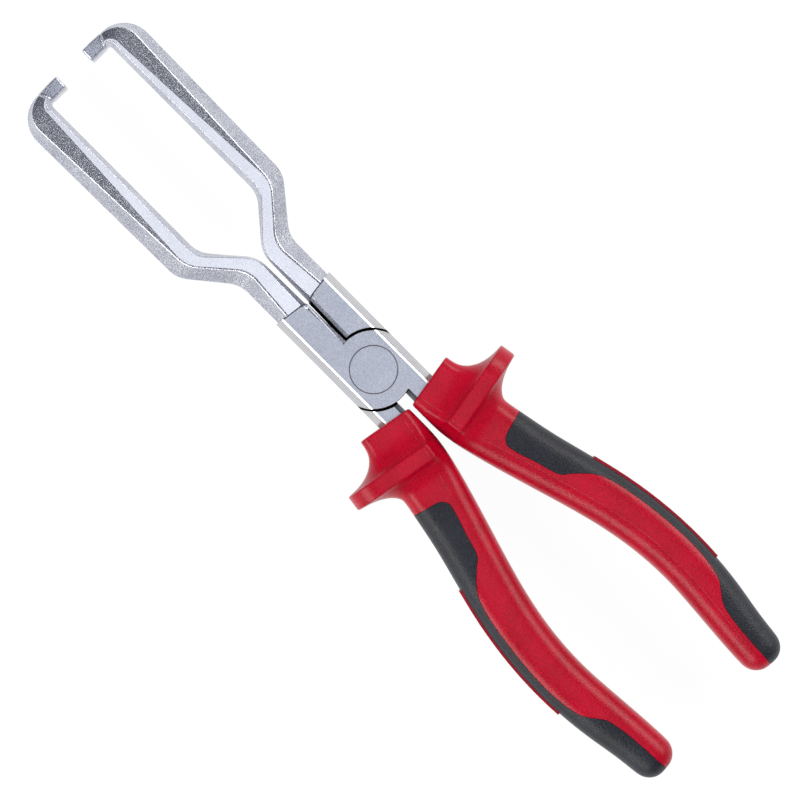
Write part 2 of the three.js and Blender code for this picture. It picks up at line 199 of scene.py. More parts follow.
TANG_SIDE = 1.6
TANG_BEVEL = 1.3
TANG_BLOCK_END = 13.4
BLOCK_BACK = -14.0  # just behind the tang's block
PAST = 1.0  # how far a cutting body runs past what it cuts
ROUND = 96  # steps of a full turn


def place(x, y, z=0.0):
    """A point in metres from millimetres off the pivot and the tool's middle plane."""
    return Vector((x * MM, y * MM, middle + z * MM))


def mixed(a, b, share):
    """The value a share of the way from a to b."""
    return a + (b - a) * share


def clear_selection():
    if bpy.context.object and bpy.context.object.mode != "OBJECT":
        bpy.ops.object.mode_set(mode="OBJECT")
    bpy.ops.object.select_all(action="DESELECT")


def take(piece, mode="OBJECT"):
    """Makes a piece the only one selected, in the mode asked for."""
    clear_selection()
    piece.select_set(True)
    bpy.context.view_layer.objects.active = piece
    if mode == "EDIT":
        bpy.ops.object.mode_set(mode="EDIT")
        bpy.ops.mesh.select_all(action="DESELECT")


def put_corners(piece, corners, places):
    """Moves each corner to its place, one at a time."""
    for corner, target in zip(corners, places):
        mesh = bmesh.from_edit_mesh(piece.data)
        mesh.verts.ensure_lookup_table()
        step = target - mesh.verts[corner].co
        if step.length > 1e-8:
            bpy.ops.mesh.select_all(action="DESELECT")
            mesh.verts[corner].select = True
            bpy.ops.transform.translate(value=step)


def sweep(name, rows):
    """A closed bar: a flat ring is put in place at the first row, then extruded to each row in turn."""
    clear_selection()
    rows = [[place(*corner) for corner in row] for row in rows]
    centre = sum(rows[0], Vector()) / len(rows[0])
    bpy.ops.mesh.primitive_circle_add(
        vertices=len(rows[0]), radius=MM, fill_type="NGON", location=centre
    )
    piece = bpy.context.object
    piece.name = name
    bpy.ops.object.transform_apply()
    bpy.ops.object.mode_set(mode="EDIT")
    bpy.ops.mesh.select_mode(type="VERT")
    corners = list(range(len(rows[0])))
    put_corners(piece, corners, rows[0])
    for before, row in zip(rows, rows[1:]):
        mesh = bmesh.from_edit_mesh(piece.data)
        mesh.verts.ensure_lookup_table()
        for corner in corners:
            mesh.verts[corner].select = True
        mesh.select_flush(True)
        step = sum(row, Vector()) / len(row) - sum(before, Vector()) / len(before)
        bpy.ops.mesh.extrude_region_move(TRANSFORM_OT_translate={"value": step})
        mesh = bmesh.from_edit_mesh(piece.data)
        mesh.verts.index_update()
        ring = [v for v in mesh.verts if v.select]
        corners = [min(ring, key=lambda v: (v.co - p - step).length_squared).index for p in before]
        put_corners(piece, corners, row)
    bpy.ops.mesh.select_all(action="SELECT")
    bpy.ops.mesh.normals_make_consistent(inside=False)
    clear_selection()
    return piece


def choose(piece, kind, test):
    """In edit mode, selects the edges or faces that pass a test of their middle (mm) and direction or normal."""
    bpy.ops.mesh.select_all(action="DESELECT")
    bpy.ops.mesh.select_mode(type="EDGE" if kind == "edges" else "FACE")
    mesh = bmesh.from_edit_mesh(piece.data)
    for part in getattr(mesh, kind):
        centre = sum((v.co for v in part.verts), Vector()) / len(part.verts) - place(0, 0)
        if kind == "edges":
            way = (part.verts[1].co - part.verts[0].co).normalized()
        else:
            way = part.normal
        part.select = test(centre / MM, way)
    bmesh.update_edit_mesh(piece.data)


def combine(piece, tool, operation):
    """Joins a piece with a tool body, cuts it by it, or keeps what they share. The tool body is used up."""
    take(piece)
    bpy.ops.object.modifier_add(type="BOOLEAN")
    modifier = piece.modifiers[-1]
    modifier.operation = operation
    modifier.solver = "EXACT"
    modifier.object = tool
    modifier.material_mode = "TRANSFER" if tool.data.materials else "INDEX"
    bpy.ops.object.modifier_apply(modifier=modifier.name)
    bpy.data.objects.remove(tool)


def copy_of(piece, name):
    """The same piece again, with its own mesh."""
    take(piece)
    bpy.ops.object.duplicate(linked=False)
    copy = bpy.context.object
    copy.name = name
    return copy


def turned_over(piece, name):
    """The same piece for the other side of the tool: a half turn about the jaws' axis, with its own mesh."""
    copy = copy_of(piece, name)
    bpy.ops.transform.rotate(value=math.pi, orient_axis="X", center_override=place(0, 0))
    bpy.ops.object.transform_apply()
    return copy


def soften(piece, width, angle, segments):
    """Rounds every edge sharper than an angle."""
    take(piece)
    bpy.ops.object.modifier_add(type="BEVEL")
    modifier = piece.modifiers[-1]
    modifier.width = width * MM
    modifier.segments = segments
    modifier.limit_method = "ANGLE"
    modifier.angle_limit = math.radians(angle)
    modifier.use_clamp_overlap = False
    modifier.harden_normals = False
    bpy.ops.object.modifier_apply(modifier=modifier.name)


def shade(piece, angle):
    """Shades a piece smooth, with a crease at each edge sharper than an angle, and keeps its flats flat."""
    take(piece)
    bpy.ops.object.shade_smooth_by_angle(angle=math.radians(angle))
    bpy.ops.object.modifier_add(type="WEIGHTED_NORMAL")
    piece.modifiers[-1].keep_sharp = True
    bpy.ops.object.modifier_apply(modifier=piece.modifiers[-1].name)
    clear_selection()


def ground_side(grow=0.0):
    """One side of the joint, from the parting line up: upright, steep, then a round that the ground flat cuts."""
    side = [(JOINT_SIDE + grow, SIDE_FOOT)]
    for i in range(SIDE_STEPS + 1):
        tilt = math.radians(mixed(SIDE_END, SIDE_START, i / SIDE_STEPS))
        start = math.radians(SIDE_START)
        out = FLAT_SIDE + SIDE_ROUND * (math.sin(tilt) - math.sin(start))
        side.append((out + grow, JOINT_HALF - SIDE_ROUND * (math.cos(start) - math.cos(tilt)) + grow))
    return side


def closed_section(lower_inner, upper_inner, outer):
    """A section's corners in turn. Each side is given from the parting line to its flat."""
    return lower_inner + [(a, -z) for a, z in reversed(outer)] + outer + upper_inner[::-1]


# The joint's bar, and the round plate that is cut to it.
left = [(-y, z) for y, z in ground_side()]
section = closed_section([(y, -z) for y, z in left], left, ground_side())
bar = sweep("joint_bar", [[(x, y, z) for y, z in section] for x in (-PLATE_RADIUS - PAST, PLATE_RADIUS + PAST)])
bpy.ops.mesh.primitive_cylinder_add(
    vertices=ROUND,
    radius=PLATE_RADIUS * MM,
    depth=(JOINT_HALF + PAST - PLATE_GAP / 2) * MM,
    location=place(0, 0, (JOINT_HALF + PAST + PLATE_GAP / 2) / 2),
)
plate = bpy.context.object
bpy.ops.object.transform_apply()
combine(plate, bar, "INTERSECT")

# The block in front of the plate, with its slanted step down to the neck, and the tang's block behind it. The
# slot's walls lean, each the same way once the half is turned over, so little light comes through between them.
rows = []
for x, slot, slant in ((0, SLOT_BACK, 0), (SHOULDER, SLOT_FRONT, SHOULDER_SLANT)):
    section = closed_section(
        [(slot + SLOT_LEAN, -SLOT_FOOT), (slot + SLOT_LEAN + SLOT_BEVEL, -JOINT_HALF)],
        [(slot - SLOT_LEAN, SLOT_FOOT), (slot - SLOT_LEAN + SLOT_BEVEL, JOINT_HALF)],
        ground_side(),
    )
    rows.append([(x + slant * (y / JOINT_SIDE * 2 - 1), y, z) for y, z in section])
jaw = sweep("jaw_half_upper_forging", rows)
take(jaw, "EDIT")
choose(
    jaw,
    "edges",
    lambda c, way: c.x > SHOULDER - SHOULDER_SLANT - 0.3 and c.y < SLOT_FRONT + SLOT_LEAN + SLOT_BEVEL - 0.1,
)
bpy.ops.mesh.bevel(offset=SLOT_CORNER * MM, offset_type="OFFSET", segments=4, affect="EDGES")


def tang_block(name, grow):
    """The block at the tang's root, or the pocket for it in the handle, which is larger all round."""
    section = closed_section(
        [(TANG_SIDE - grow, -SIDE_FOOT), (TANG_SIDE - grow + TANG_BEVEL, -JOINT_HALF - grow)],
        [(TANG_SIDE - grow, SIDE_FOOT), (TANG_SIDE - grow + TANG_BEVEL, JOINT_HALF + grow)],
        ground_side(grow),
    )
    return sweep(name, [[(x, -y, z) for y, z in section] for x in (0, -TANG_BLOCK_END - grow)])


combine(jaw, tang_block("tang_block", 0), "UNION")
bpy.ops.mesh.primitive_cylinder_add(
    vertices=ROUND,
    radius=(PLATE_RADIUS + SHOULDER_GAP) * MM,
    depth=(JOINT_HALF + PAST + PLATE_GAP / 2) * MM,
    location=place(0, 0, (PLATE_GAP / 2 - JOINT_HALF - PAST) / 2),
)
shoulder = bpy.context.object
bpy.ops.object.transform_apply()
combine(jaw, shoulder, "DIFFERENCE")
combine(jaw, plate, "UNION")

# The rivet's hole: countersunk at both faces.
RIVET_SHANK = 4.0
RIVET_HEAD = 5.97
RIVET_RIM = 0.8  # upright height of the head above its cone
RIVET_BEVEL = 0.1
RIVET_FIT = 0.04  # the hole is this much larger all round


def turned_body(name, profile):
    """A round body: its outline is drawn point by point and spun once about the pivot."""
    clear_selection()
    first = place(profile[0][0], 0, profile[0][1])
    bpy.ops.mesh.primitive_plane_add(size=MM, location=first)
    piece = bpy.context.object
    piece.name = name
    bpy.ops.object.transform_apply()
    bpy.ops.object.mode_set(mode="EDIT")
    bpy.ops.mesh.select_mode(type="VERT")
    bpy.ops.mesh.select_all(action="SELECT")
    bpy.ops.mesh.merge(type="CENTER")
    for (r, z), (next_r, next_z) in zip(profile, profile[1:]):
        bpy.ops.mesh.extrude_vertices_move(
            TRANSFORM_OT_translate={"value": ((next_r - r) * MM, 0, (next_z - z) * MM)}
        )
    bpy.ops.mesh.select_all(action="SELECT")
    bpy.ops.mesh.spin(steps=ROUND, angle=2 * math.pi, center=place(0, 0), axis=(0, 0, 1))
    bpy.ops.mesh.select_all(action="SELECT")
    bpy.ops.mesh.remove_doubles(threshold=0.00001)
    bpy.ops.mesh.normals_make_consistent(inside=False)
    clear_selection()
    return piece


def rivet_outline(grow, rim_bevel, past):
    """From the middle of one end face to the middle of the other, as [radius, up]."""
    rim = JOINT_HALF - RIVET_RIM - grow
    cone = RIVET_HEAD - RIVET_SHANK
    upper = [
        (RIVET_SHANK + grow, rim - cone),
        (RIVET_HEAD + grow, rim),
        (RIVET_HEAD + grow, JOINT_HALF - rim_bevel),
        (RIVET_HEAD + grow + (rim_bevel if past else -rim_bevel), JOINT_HALF),
    ]
    if past:
        upper.append((RIVET_HEAD + grow + rim_bevel, JOINT_HALF + past))
    upper.append((0, JOINT_HALF + past))
    return [(r, -z) for r, z in reversed(upper)] + upper


combine(jaw, turned_body("rivet_hole", rivet_outline(grow=RIVET_FIT, rim_bevel=RIVET_BEVEL, past=PAST)), "DIFFERENCE")

# The arm: two lines in plan, the dog-leg's inner and outer sides, each bend rounded.
ARM_HALF = 4.2  # half its thickness
ARM_INNER = 10.45
ARM_OUTER = 18.75
ARM_FLARE = 0.75  # how far the outer side splays by the corner
NECK_ROOT = 0.45
NECK_INNER = 0.7
NECK_OUTER = 8.7
BEND_RADIUS = 8.0
CORNER_RADIUS = 8.0
INSIDE_CORNER = 0.8
FLASH = 0.4  # how far the trimmed flash stands out of the outer side
FLASH_HALF = 0.75  # half its height
FLASH_FOOT = 1.1  # height at which the outer bevel starts
CREST_DROP = 0.02  # from the crest along the arm's top to the top's inner edge
TIP_WIDTH = 3.85
TIP_HALF = 3.3
TIP_START = 1.8  # from the arm's inner side to the plain bar
TIP_CHAMFER = 0.3
CHAMFER_RUN = 0.35
MOUTH_HALF = 4.5
tip_back = REACH - TIP_WIDTH
ARM_SHAPES = [
    (1.2, 2.5, 0.13),
    (0.6, 3.6, 0.15),
    (1.3, 3.6, 0.14),
    (1.1, 2.6, 0.82),
]  # inner bevel, outer bevel and the fall's share of the top: at the neck, at each bend, and at the corner
ARM_FALL = 9.0  # degrees
TIP_ROOT_BEVEL = 0.7  # what the outer bevel shrinks to round the corner


def rounded_line(corners, steps):
    """A line through [x, y, radius] corners, each rounded in its number of steps."""
    points = [Vector(corners[0][:2])]
    for i in range(1, len(corners) - 1):
        corner = Vector(corners[i][:2])
        back = (Vector(corners[i - 1][:2]) - corner).normalized()
        ahead = (Vector(corners[i + 1][:2]) - corner).normalized()
        half = back.angle(ahead) / 2
        radius = corners[i][2]
        centre = corner + (back + ahead).normalized() * radius / math.sin(half)
        start = corner + back * radius / math.tan(half) - centre
        end = corner + ahead * radius / math.tan(half) - centre
        turn = math.atan2(start.x * end.y - start.y * end.x, start.dot(end))
        for j in range(steps[i] + 1):
            angle = turn * j / steps[i]
            cos, sin = math.cos(angle), math.sin(angle)
            points.append(centre + Vector((start.x * cos - start.y * sin, start.x * sin + start.y * cos)))
    return points


CORNER_STEPS = 14
side_steps = [0, 8, 8, CORNER_STEPS]
arm_start = SHOULDER - SHOULDER_SLANT - PAST
inner_side = rounded_line(
    [
        (arm_start, NECK_ROOT),
        (40.4, NECK_INNER, BEND_RADIUS),
        (51.7, ARM_INNER, BEND_RADIUS),
        (tip_back, ARM_INNER, INSIDE_CORNER),
        (tip_back, 0),
    ],
    side_steps,
)
outer_side = rounded_line(
    [
        (arm_start, NECK_OUTER),
        (38.7, NECK_OUTER, BEND_RADIUS),
        (51.0, ARM_OUTER, BEND_RADIUS),
        (REACH, ARM_OUTER + ARM_FLARE, CORNER_RADIUS),
        (REACH, 0),
    ],
    side_steps,
)
shapes = [shape for shape, steps in zip(ARM_SHAPES, side_steps) for _ in range(steps + 1)]
for i in range(CORNER_STEPS + 1):
    inner_bevel, outer_bevel, fallen = ARM_SHAPES[-1]
    shapes[i - CORNER_STEPS - 1] = (inner_bevel, mixed(outer_bevel, TIP_ROOT_BEVEL, i / CORNER_STEPS), fallen)


def arm_ring(inner, outer, upper):
    """A ring of the arm between two points in plan, from the upper half of its section as [across, up]."""
    out = (outer - inner).normalized()
    section = [(a, -z) for a, z in reversed(upper)] + upper
    return [(inner.x + out.x * a, inner.y + out.y * a, z) for a, z in section]


rows = []
for (inner_bevel, outer_bevel, fallen), inner, outer in zip(shapes, inner_side, outer_side):
    width = (outer - inner).length
    top = (width - outer_bevel, inner_bevel)
    edge = mixed(*top, fallen)
    fall = (top[0] - edge) * math.tan(math.radians(ARM_FALL)) + CREST_DROP
    upper = [
        (width, FLASH_HALF),
        (width - FLASH, FLASH_FOOT),
        (top[0], ARM_HALF - fall),
        (edge, ARM_HALF),
        (top[1], ARM_HALF - CREST_DROP),
        (0, 1.0),
    ]
    rows.append(arm_ring(inner, outer, upper))

# The arm ends in the tip: a concave step down all round its root, then a plain bar with broken edges. Each row
# of the step is given as how far it is along, how far in from the side and how far above the bar.
ROOT_STEP = ((0.35, 0.25, 0.38), (0.75, 0.1, 0.1), (1.2, 0.05, 0.0))
root_inner, root_outer = inner_side[-1], outer_side[-1]
width = (root_outer - root_inner).length
for step, side, rise in ROOT_STEP:
    down = Vector((0, -step))
    upper = [
        (width, FLASH_HALF),
        (width - side, FLASH_FOOT + (1 - rise) * 1.2),
        (width - side - 0.45, TIP_HALF + rise - 0.05),
        (width * 0.5, TIP_HALF + rise),
        (0.9 - step * 0.25, TIP_HALF + rise),
        (0, TIP_HALF - 0.8 - rise),
    ]
    rows.append(arm_ring(root_inner + down, root_outer + down, upper))
for y, inset in ((root_inner.y - TIP_START, 0), (MOUTH_HALF + CHAMFER_RUN, 0), (MOUTH_HALF, TIP_CHAMFER)):
    upper = [
        (TIP_WIDTH - inset, FLASH_HALF),
        (TIP_WIDTH - inset, TIP_HALF - 0.5),
        (TIP_WIDTH - 0.4 - inset, TIP_HALF - inset),
        (TIP_WIDTH * 0.5, TIP_HALF - inset),
        (0.55 + inset, TIP_HALF - inset),
        (inset, TIP_HALF - 0.8),
    ]
    rows.append(arm_ring(Vector((tip_back, y)), Vector((REACH, y)), upper))
arm = sweep("arm", rows)
soften(arm, width=0.15, angle=20, segments=3)
combine(jaw, arm, "UNION")

# The edges of the ground flats are broken by hand: both arcs at the joint a little, the step more. The creases
# where the grinding cuts the round sides, and where each arm's top falls away, stay sharp.
ARC_BREAK = 0.18
STEP_BREAK = 0.42


def slot_line(c):
    """How far off the tool's middle the slot's bevel meets the flat."""
    return mixed(SLOT_BACK, SLOT_FRONT, c.x / SHOULDER) - math.copysign(SLOT_LEAN, c.z) + SLOT_BEVEL


def on_flat_edge(c, way):
    if abs(c.z) < JOINT_HALF - 0.01 or abs(way.z) > 0.1 or c.x > SHOULDER - SHOULDER_SLANT - 0.9:
        return False
    beside = c.y < slot_line(c) + 0.05 if c.x > 0 else c.y > -TANG_SIDE - TANG_BEVEL
    radius = math.hypot(c.x, c.y)
    if c.z > 0:
        return abs(radius - PLATE_RADIUS) < 0.06 and beside
    return abs(radius - PLATE_RADIUS - SHOULDER_GAP) < 0.06


def on_step_edge(c, way):
    near = c.x > SHOULDER - SHOULDER_SLANT - 0.9 and abs(c.y - FLAT_SIDE) > 0.05
    return near and abs(c.z) > JOINT_HALF - 0.01 and abs(way.z) < 0.1


def on_crease(c, way):
    beside_flat = abs(abs(c.z) - JOINT_HALF) < 0.01 and abs(abs(c.y) - FLAT_SIDE) < 0.02
    return abs(way.z) < 0.1 and (beside_flat or c.x > SHOULDER + 1 and abs(abs(c.z) - ARM_HALF) < 0.004)


take(jaw, "EDIT")
choose(jaw, "edges", on_step_edge)
bpy.ops.mesh.bevel(offset=STEP_BREAK * MM, offset_type="OFFSET", segments=3, affect="EDGES")
choose(jaw, "edges", on_flat_edge)
bpy.ops.mesh.bevel(offset=ARC_BREAK * MM, offset_type="OFFSET", segments=3, affect="EDGES")
choose(jaw, "edges", on_crease)
bpy.ops.mesh.mark_sharp()
clear_selection()


# Bright nickel on blasted steel: a mirror-like skin over small pits, so reflections break up into grains.
# The blasting's pits are about 0.1 mm across, and are drawn at 0.26 mm so that they show.
def bare_steel(name, tone, dark_tone, roughness, pit, pit_depth, wave, wave_depth, streak=1.0, ring=0.0, metal=1.0):
    """Bare or plated steel, from its light and dark grains, its gloss, and its pits' and waves' width and depth.

    The grains may be drawn out across the tool, and a ring round the pivot may be stained. With metal at 0 the
    skin is matt and not metal, as for the painted shade in the gaps.
    """
    material = bpy.data.materials.new(name)
    material.use_nodes = True
    tree = material.node_tree
    tree.nodes.clear()
    where = add_node(tree, "ShaderNodeTexCoord")
    drawn_out = add_node(
        tree,
        "ShaderNodeVectorMath",
        {"operation": "MULTIPLY", 1: (1.0, 1 / streak, 1.0)},
        {0: where.outputs["Object"]},
    )
    pits = add_node(
        tree,
        "ShaderNodeTexNoise",
        {"Scale": 1 / (pit * MM), "Detail": 1.5, "Roughness": 0.6},
        {0: drawn_out.outputs[0]},
    )
    waves = add_node(
        tree, "ShaderNodeTexNoise", {"Scale": 1 / (wave * MM), "Detail": 2.0}, {0: where.outputs["Object"]}
    )
    patches = add_node(
        tree, "ShaderNodeTexNoise", {"Scale": 1 / (6 * MM), "Detail": 4.0}, {0: where.outputs["Object"]}
    )
    both = add_node(
        tree, "ShaderNodeMath", {"operation": "MULTIPLY_ADD", 1: 4.0}, {0: pits.outputs[0], 2: patches.outputs[0]}
    )
    share = add_node(tree, "ShaderNodeMapRange", {"From Min": 1.9, "From Max": 3.1}, {"Value": both.outputs[0]})
    tint = add_node(
        tree,
        "ShaderNodeMix",
        {"data_type": "RGBA", 6: linear(dark_tone), 7: linear(tone)},
        {0: share.outputs[0]},
    )
    colour = tint.outputs[2]
    if ring:
        flat = add_node(
            tree,
            "ShaderNodeVectorMath",
            {"operation": "MULTIPLY", 1: (1.0, 1.0, 0.0)},
            {0: where.outputs["Object"]},
        )
        radius = add_node(tree, "ShaderNodeVectorMath", {"operation": "LENGTH"}, {0: flat.outputs["Vector"]})
        off = add_node(tree, "ShaderNodeMath", {"operation": "SUBTRACT", 1: ring * MM}, {0: radius.outputs["Value"]})
        off = add_node(tree, "ShaderNodeMath", {"operation": "ABSOLUTE"}, {0: off.outputs[0]})
        stain = add_node(
            tree,
            "ShaderNodeMapRange",
            {"From Min": 0.07 * MM, "From Max": 0.2 * MM, "To Min": 0.85, "To Max": 0.0},
            {"Value": off.outputs[0]},
        )
        stained = add_node(
            tree,
            "ShaderNodeMix",
            {"data_type": "RGBA", 7: linear("#5E4E49")},
            {0: stain.outputs[0], 6: colour},
        )
        colour = stained.outputs[2]
    dull = add_node(
        tree,
        "ShaderNodeMapRange",
        {"From Min": 0.3, "From Max": 0.7, "To Min": roughness - 0.04, "To Max": roughness + 0.05},
        {"Value": pits.outputs[0]},
    )
    swell = add_node(
        tree, "ShaderNodeBump", {"Strength": 1.0, "Distance": wave_depth * MM}, {"Height": waves.outputs[0]}
    )
    relief = add_node(
        tree,
        "ShaderNodeBump",
        {"Strength": 1.0, "Distance": pit_depth * MM},
        {"Height": pits.outputs[0], "Normal": swell.outputs[0]},
    )
    skin = add_node(
        tree,
        "ShaderNodeBsdfPrincipled",
        {"Metallic": metal, "Specular IOR Level": 0.5 * metal},
        {"Base Color": colour, "Roughness": dull.outputs[0], "Normal": relief.outputs[0]},
    )
    add_node(tree, "ShaderNodeOutputMaterial", {}, {"Surface": skin.outputs[0]})
    return material


blasted_nickel = bare_steel(
    "bright_nickel_on_blasted_steel", "#DEE1EA", "#9FA3B2",
    roughness=0.25, pit=0.26, pit_depth=0.06, wave=2.6, wave_depth=0.01,
)
STAIN_RING = 6.03  # radius, at the edge of the rivet's head


# The grit's marks are near 0.05 mm wide, and are drawn at 0.24 mm so that they show.
def ground_steel(name):
    """Ground flats: a satin grey from fine grit drawn across the tool, with a fine brown stain round the rivet."""
    return bare_steel(
        name, "#CFD3DC", "#ABB0BC",
        roughness=0.34, pit=0.24, pit_depth=0.025, wave=1.5, wave_depth=0.003, streak=1.5, ring=STAIN_RING,
    )


ground_nickel = ground_steel("nickel_on_ground_steel")
# Drawn sides: smooth and bright, with hardly any grain.
smooth_nickel = bare_steel(
    "bright_nickel_on_smooth_steel", "#CACACE", "#BCBDC1",
    roughness=0.15, pit=0.4, pit_depth=0.002, wave=3.0, wave_depth=0.002,
)
# The slot's bevels and the face of the step: a darker, duller nickel that is painted shade, where the slot is deep
# and the step faces away from the lamps.
painted_shade_nickel = bare_steel(
    "nickel_with_painted_shade_in_the_slot", "#8C909E", "#666A74",
    roughness=0.34, pit=0.4, pit_depth=0.02, wave=2.0, wave_depth=0.01,
)
# The gaps between the halves: a near-black matt skin, painted shade where the gaps are deep and swallow the light.
painted_gap_shade_steel = bare_steel(
    "steel_with_painted_shade_in_the_gaps", "#1C1817", "#0F0D0D",
    roughness=0.6, pit=0.5, pit_depth=0.02, wave=2.0, wave_depth=0.01, metal=0.0,
)
# The arms' tops where the dies pressed them flat: the same plating on a smoother skin.
pressed_nickel = bare_steel(
    "bright_nickel_on_pressed_steel", "#E5E5E9", "#C8C9D1",
    roughness=0.24, pit=0.3, pit_depth=0.014, wave=2.0, wave_depth=0.016,
)

steels = (blasted_nickel, ground_nickel, smooth_nickel, painted_shade_nickel, painted_gap_shade_steel, pressed_nickel)
for material in steels:
    jaw.data.materials.append(material)


def in_block(c):
    return BLOCK_BACK < c.x < SHOULDER - SHOULDER_SLANT - 0.3 or (
        BLOCK_BACK < c.x < SHOULDER + SHOULDER_SLANT + 0.1 and (abs(c.z) > ARM_HALF + 0.05 or c.y > NECK_OUTER)
    )


def in_slot(c):
    beside = -0.5 < c.y < SLOT_FRONT + SLOT_LEAN + SLOT_BEVEL + 0.05
    return beside and 0 < c.x < SHOULDER + 0.4 or c.x < -9 and -TANG_SIDE - TANG_BEVEL < c.y


def on_arc(c):
    radius = math.hypot(c.x, c.y)
    return PLATE_RADIUS - 0.1 < radius < PLATE_RADIUS + SHOULDER_GAP + 0.1


take(jaw, "EDIT")
for material, test in (
    (pressed_nickel, lambda c, way: c.x > SHOULDER and abs(way.z) > 0.999 and abs(c.z) > ARM_HALF - 0.05),
    (smooth_nickel, lambda c, way: in_block(c)),
    (ground_nickel, lambda c, way: in_block(c) and abs(way.z) > 0.98 and abs(c.z) > JOINT_HALF - 0.05),
    # The slot's bevels and the step's face take the darker nickel as painted shade.
    (painted_shade_nickel, lambda c, way: in_slot(c) and in_block(c) and abs(way.z) < 0.95 and abs(way.y) > 0.3),
    (painted_shade_nickel, lambda c, way: in_block(c) and way.x > 0.3 and abs(way.z) < 0.98 and c.x > SHOULDER - 1.8),
    # The gaps' walls and faces take near-black painted shade.
    (painted_gap_shade_steel, lambda c, way: in_slot(c) and in_block(c) and abs(way.z) < 0.2 and abs(way.y) > 0.3 and c.x > 0),
    (painted_gap_shade_steel, lambda c, way: on_arc(c) and abs(way.z) < 0.3),
    (painted_gap_shade_steel, lambda c, way: abs(c.z - PLATE_GAP / 2) < 0.05),
):
    choose(jaw, "faces", test)
    jaw.active_material_index = steels.index(material)
    bpy.ops.object.material_slot_assign()
shade(jaw, angle=32)
jaw_lower = turned_over(jaw, "jaw_half_lower_forging")

for piece, body, node in ((jaw, "upper_half", "jaw_half_upper"), (jaw_lower, "lower_half", "jaw_half_lower")):
    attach(piece, body)
    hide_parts(node)

# --- Pivot rivet ---
# A steel rivet through both plates, its countersunk heads ground flush with them. Only a fine dark ring shows
# where the head ends.
rivet = turned_body("pivot_rivet_ground", rivet_outline(grow=0, rim_bevel=RIVET_BEVEL, past=0))
rivet.data.materials.append(ground_steel("ground_rivet_steel"))
shade(rivet, angle=32)
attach(rivet, "upper_half")
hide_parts("pivot_rivet")

# --- Handle shells ---
# Hard red plastic moulded over each tang: a square front end, a finger guard that flares out of it, and a
# curved grip with a recess along its back for the soft inlay.
REACH_BACK = 122.1
HANDLE_FRONT = 11.65
FRONT_LEAN = 10.0
STATIONS = [
    (7.85, 7.4, 7.6, 2.4),
    (8.6, 7.85, 7.4, 3.2),
    (10.9, 7.75, 6.9, 4.6),
    (13.6, 7.25, 6.9, 5),
    (16.7, 7.05, 7, 5),
    (19.4, 6.85, 7.2, 5),
    (21.05, 6.65, 7.3, 5),
    (21.5, 6.5, 7.3, 5),
    (20.75, 6.4, 7, 5),
    (19.4, 5.9, 6.6, 5),
    (18.6, 5.6, 6.4, 4.8),
]  # from the front face to the end: centre line off the tool's middle, half width, half height, corner
GRIP_SPACING = 5.0  # between the grip's rings
END_RADIUS = 4.6
END_STEPS = 5
LEAST_ROUND = 0.5
GUARD_FRONT = 9.7
GUARD_THICKNESS = 4.2
GUARD_OUT = 18.9
GUARD_HALF_HEIGHT = 10.7
GUARD_CORNER = 8.0
RIB_END = [(-4.5, 10.7), (-5.0, 10.65), (-5.5, 6.9)]  # the guard's inner end, as [out, up] from the centre line
GUARD_EDGE = 0.3
GUARD_ROUND = 0.9  # from each face to where the edge's round has run out
FRONT_EDGE = 0.5
FLARE_FRONT = 8.0
FLARE_BACK = 5.0
FLARE_STEPS = 6
TANG_FIT = 0.12  # the pocket is this much larger all round
handle_length = REACH_BACK - HANDLE_FRONT
guard_back = GUARD_FRONT + GUARD_THICKNESS
waist = guard_back + FLARE_BACK


def smooth_line(rows):
    """A smooth line through rows of numbers, as a function of 0 at the first row to 1 at the last."""
    points = [Vector(row) for row in rows]
    points = [2 * points[0] - points[1]] + points + [2 * points[-1] - points[-2]]

    def at(share):
        scaled = min(max(share, 0.0), 1.0) * (len(rows) - 1)
        i = min(int(scaled), len(rows) - 2)
        t = scaled - i
        a, b, c, d = points[i : i + 4]
        gaps = [max((q - p).length, 1e-8) ** 0.5 for p, q in ((a, b), (b, c), (c, d))]
        start = ((b - a) / gaps[0] - (c - a) / (gaps[0] + gaps[1]) + (c - b) / gaps[1]) * gaps[1]
        end = ((c - b) / gaps[1] - (d - b) / (gaps[1] + gaps[2]) + (d - c) / gaps[2]) * gaps[1]
        square = 3 * (c - b) - 2 * start - end
        cube = 2 * (b - c) + start + end
        return b + start * t + square * t * t + cube * t**3, start + 2 * square * t + 3 * cube * t * t

    return at


centre_line = smooth_line(
    [(-HANDLE_FRONT - handle_length * i / (len(STATIONS) - 1), -row[0]) for i, row in enumerate(STATIONS)]
)
girth = smooth_line([row[1:] for row in STATIONS])


def handle_at(along):
    """The centre line's point this far behind the handle's front face, and its outward direction."""
    inside = min(max(along, 0.0), handle_length)
    point, ahead = centre_line(inside / handle_length)
    ahead = ahead.normalized()
    return point + ahead * (along - inside), Vector((-ahead.y, ahead.x))


def rounded_section(inner, outer, half, inner_corner, outer_corner, steps=4):
    """A rectangle with rounded corners, as [out, up] corners."""
    section = []
    for quarter, (side, up, corner) in enumerate(
        ((outer, -1, outer_corner), (outer, 1, outer_corner), (inner, 1, inner_corner), (inner, -1, inner_corner))
    ):
        radius = min(corner, 0.95 * min(half, (outer - inner) / 2))
        centre = (side - radius if side == outer else side + radius, up * (half - radius))
        for i in range(steps + 1):
            angle = (quarter - 1 + i / steps) * math.pi / 2
            section.append((centre[0] + radius * math.cos(angle), centre[1] + radius * math.sin(angle)))
    return section


def ring(point, out, section):
    """A section's corners set about a point of the centre line."""
    return [(point.x + out.x * a, point.y + out.y * a, z) for a, z in section]


